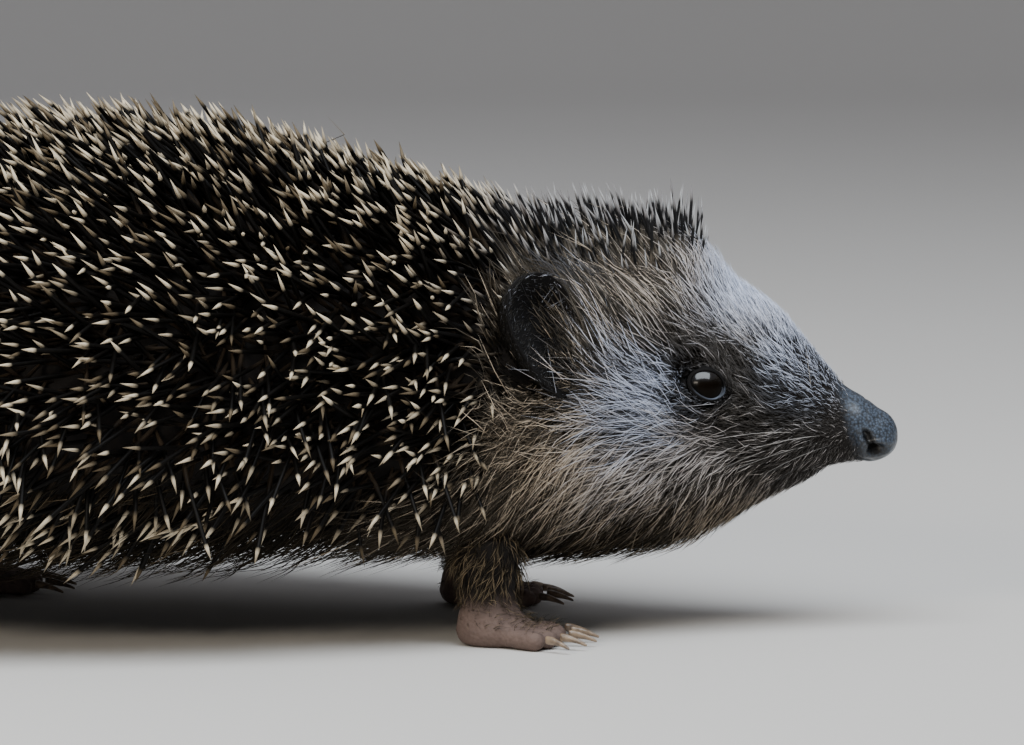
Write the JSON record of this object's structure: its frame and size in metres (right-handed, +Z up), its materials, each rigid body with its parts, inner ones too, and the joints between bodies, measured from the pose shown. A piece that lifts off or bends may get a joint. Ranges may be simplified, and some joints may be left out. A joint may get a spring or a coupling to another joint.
{
  "type": "hedgehog",
  "caption": "Life-size European hedgehog standing low on its four feet, head level, with a quilled back, furred face and flanks, glossy eyes and small rounded ears.",
  "frame": {"origin": "on the floor under the middle of the animal's length", "axes": "+X forward to the nose, +Y to the animal's left, +Z up"},
  "size_m": [0.2099, 0.118, 0.083],
  "materials": {
    "quills": "keratin quills, near-black shafts with cream tips and bands",
    "face_fur": "short coarse fur, grizzled beige and grey over dark bases",
    "belly_fur": "longer coarse fur, brown with pale tips",
    "ear_skin": "thin dark skin under fine short hair",
    "nose_skin": "bare moist skin, blue-grey, finely pebbled",
    "eye": "black, wet and glossy",
    "foot_skin": "bare granular skin with thin short hair",
    "claw": "smooth horn, paler to the tip"
  },
  "bodies": {
    "root": {"muzzle": "face_fur", "jaw": "face_fur", "head": "face_fur", "nose": "nose_skin", "eye_right": "eye", "eye_left": "eye", "ear_right": "ear_skin", "ear_left": "ear_skin", "neck": "quills", "trunk": "quills", "belly": "belly_fur", "tail": "belly_fur", "fore_right_leg": "belly_fur", "fore_right_foot": "foot_skin", "fore_right_claw_inner": "claw", "fore_right_claw_second": "claw", "fore_right_claw_middle": "claw", "fore_right_claw_fourth": "claw", "fore_right_claw_outer": "claw", "fore_left_leg": "belly_fur", "fore_left_foot": "foot_skin", "fore_left_claw_inner": "claw", "fore_left_claw_second": "claw", "fore_left_claw_middle": "claw", "fore_left_claw_fourth": "claw", "fore_left_claw_outer": "claw", "hind_right_leg": "belly_fur", "hind_right_foot": "foot_skin", "hind_right_claw_inner": "claw", "hind_right_claw_second": "claw", "hind_right_claw_middle": "claw", "hind_right_claw_fourth": "claw", "hind_right_claw_outer": "claw", "hind_left_leg": "belly_fur", "hind_left_foot": "foot_skin", "hind_left_claw_inner": "claw", "hind_left_claw_second": "claw", "hind_left_claw_middle": "claw", "hind_left_claw_fourth": "claw", "hind_left_claw_outer": "claw"}
  },
  "joints": []
}
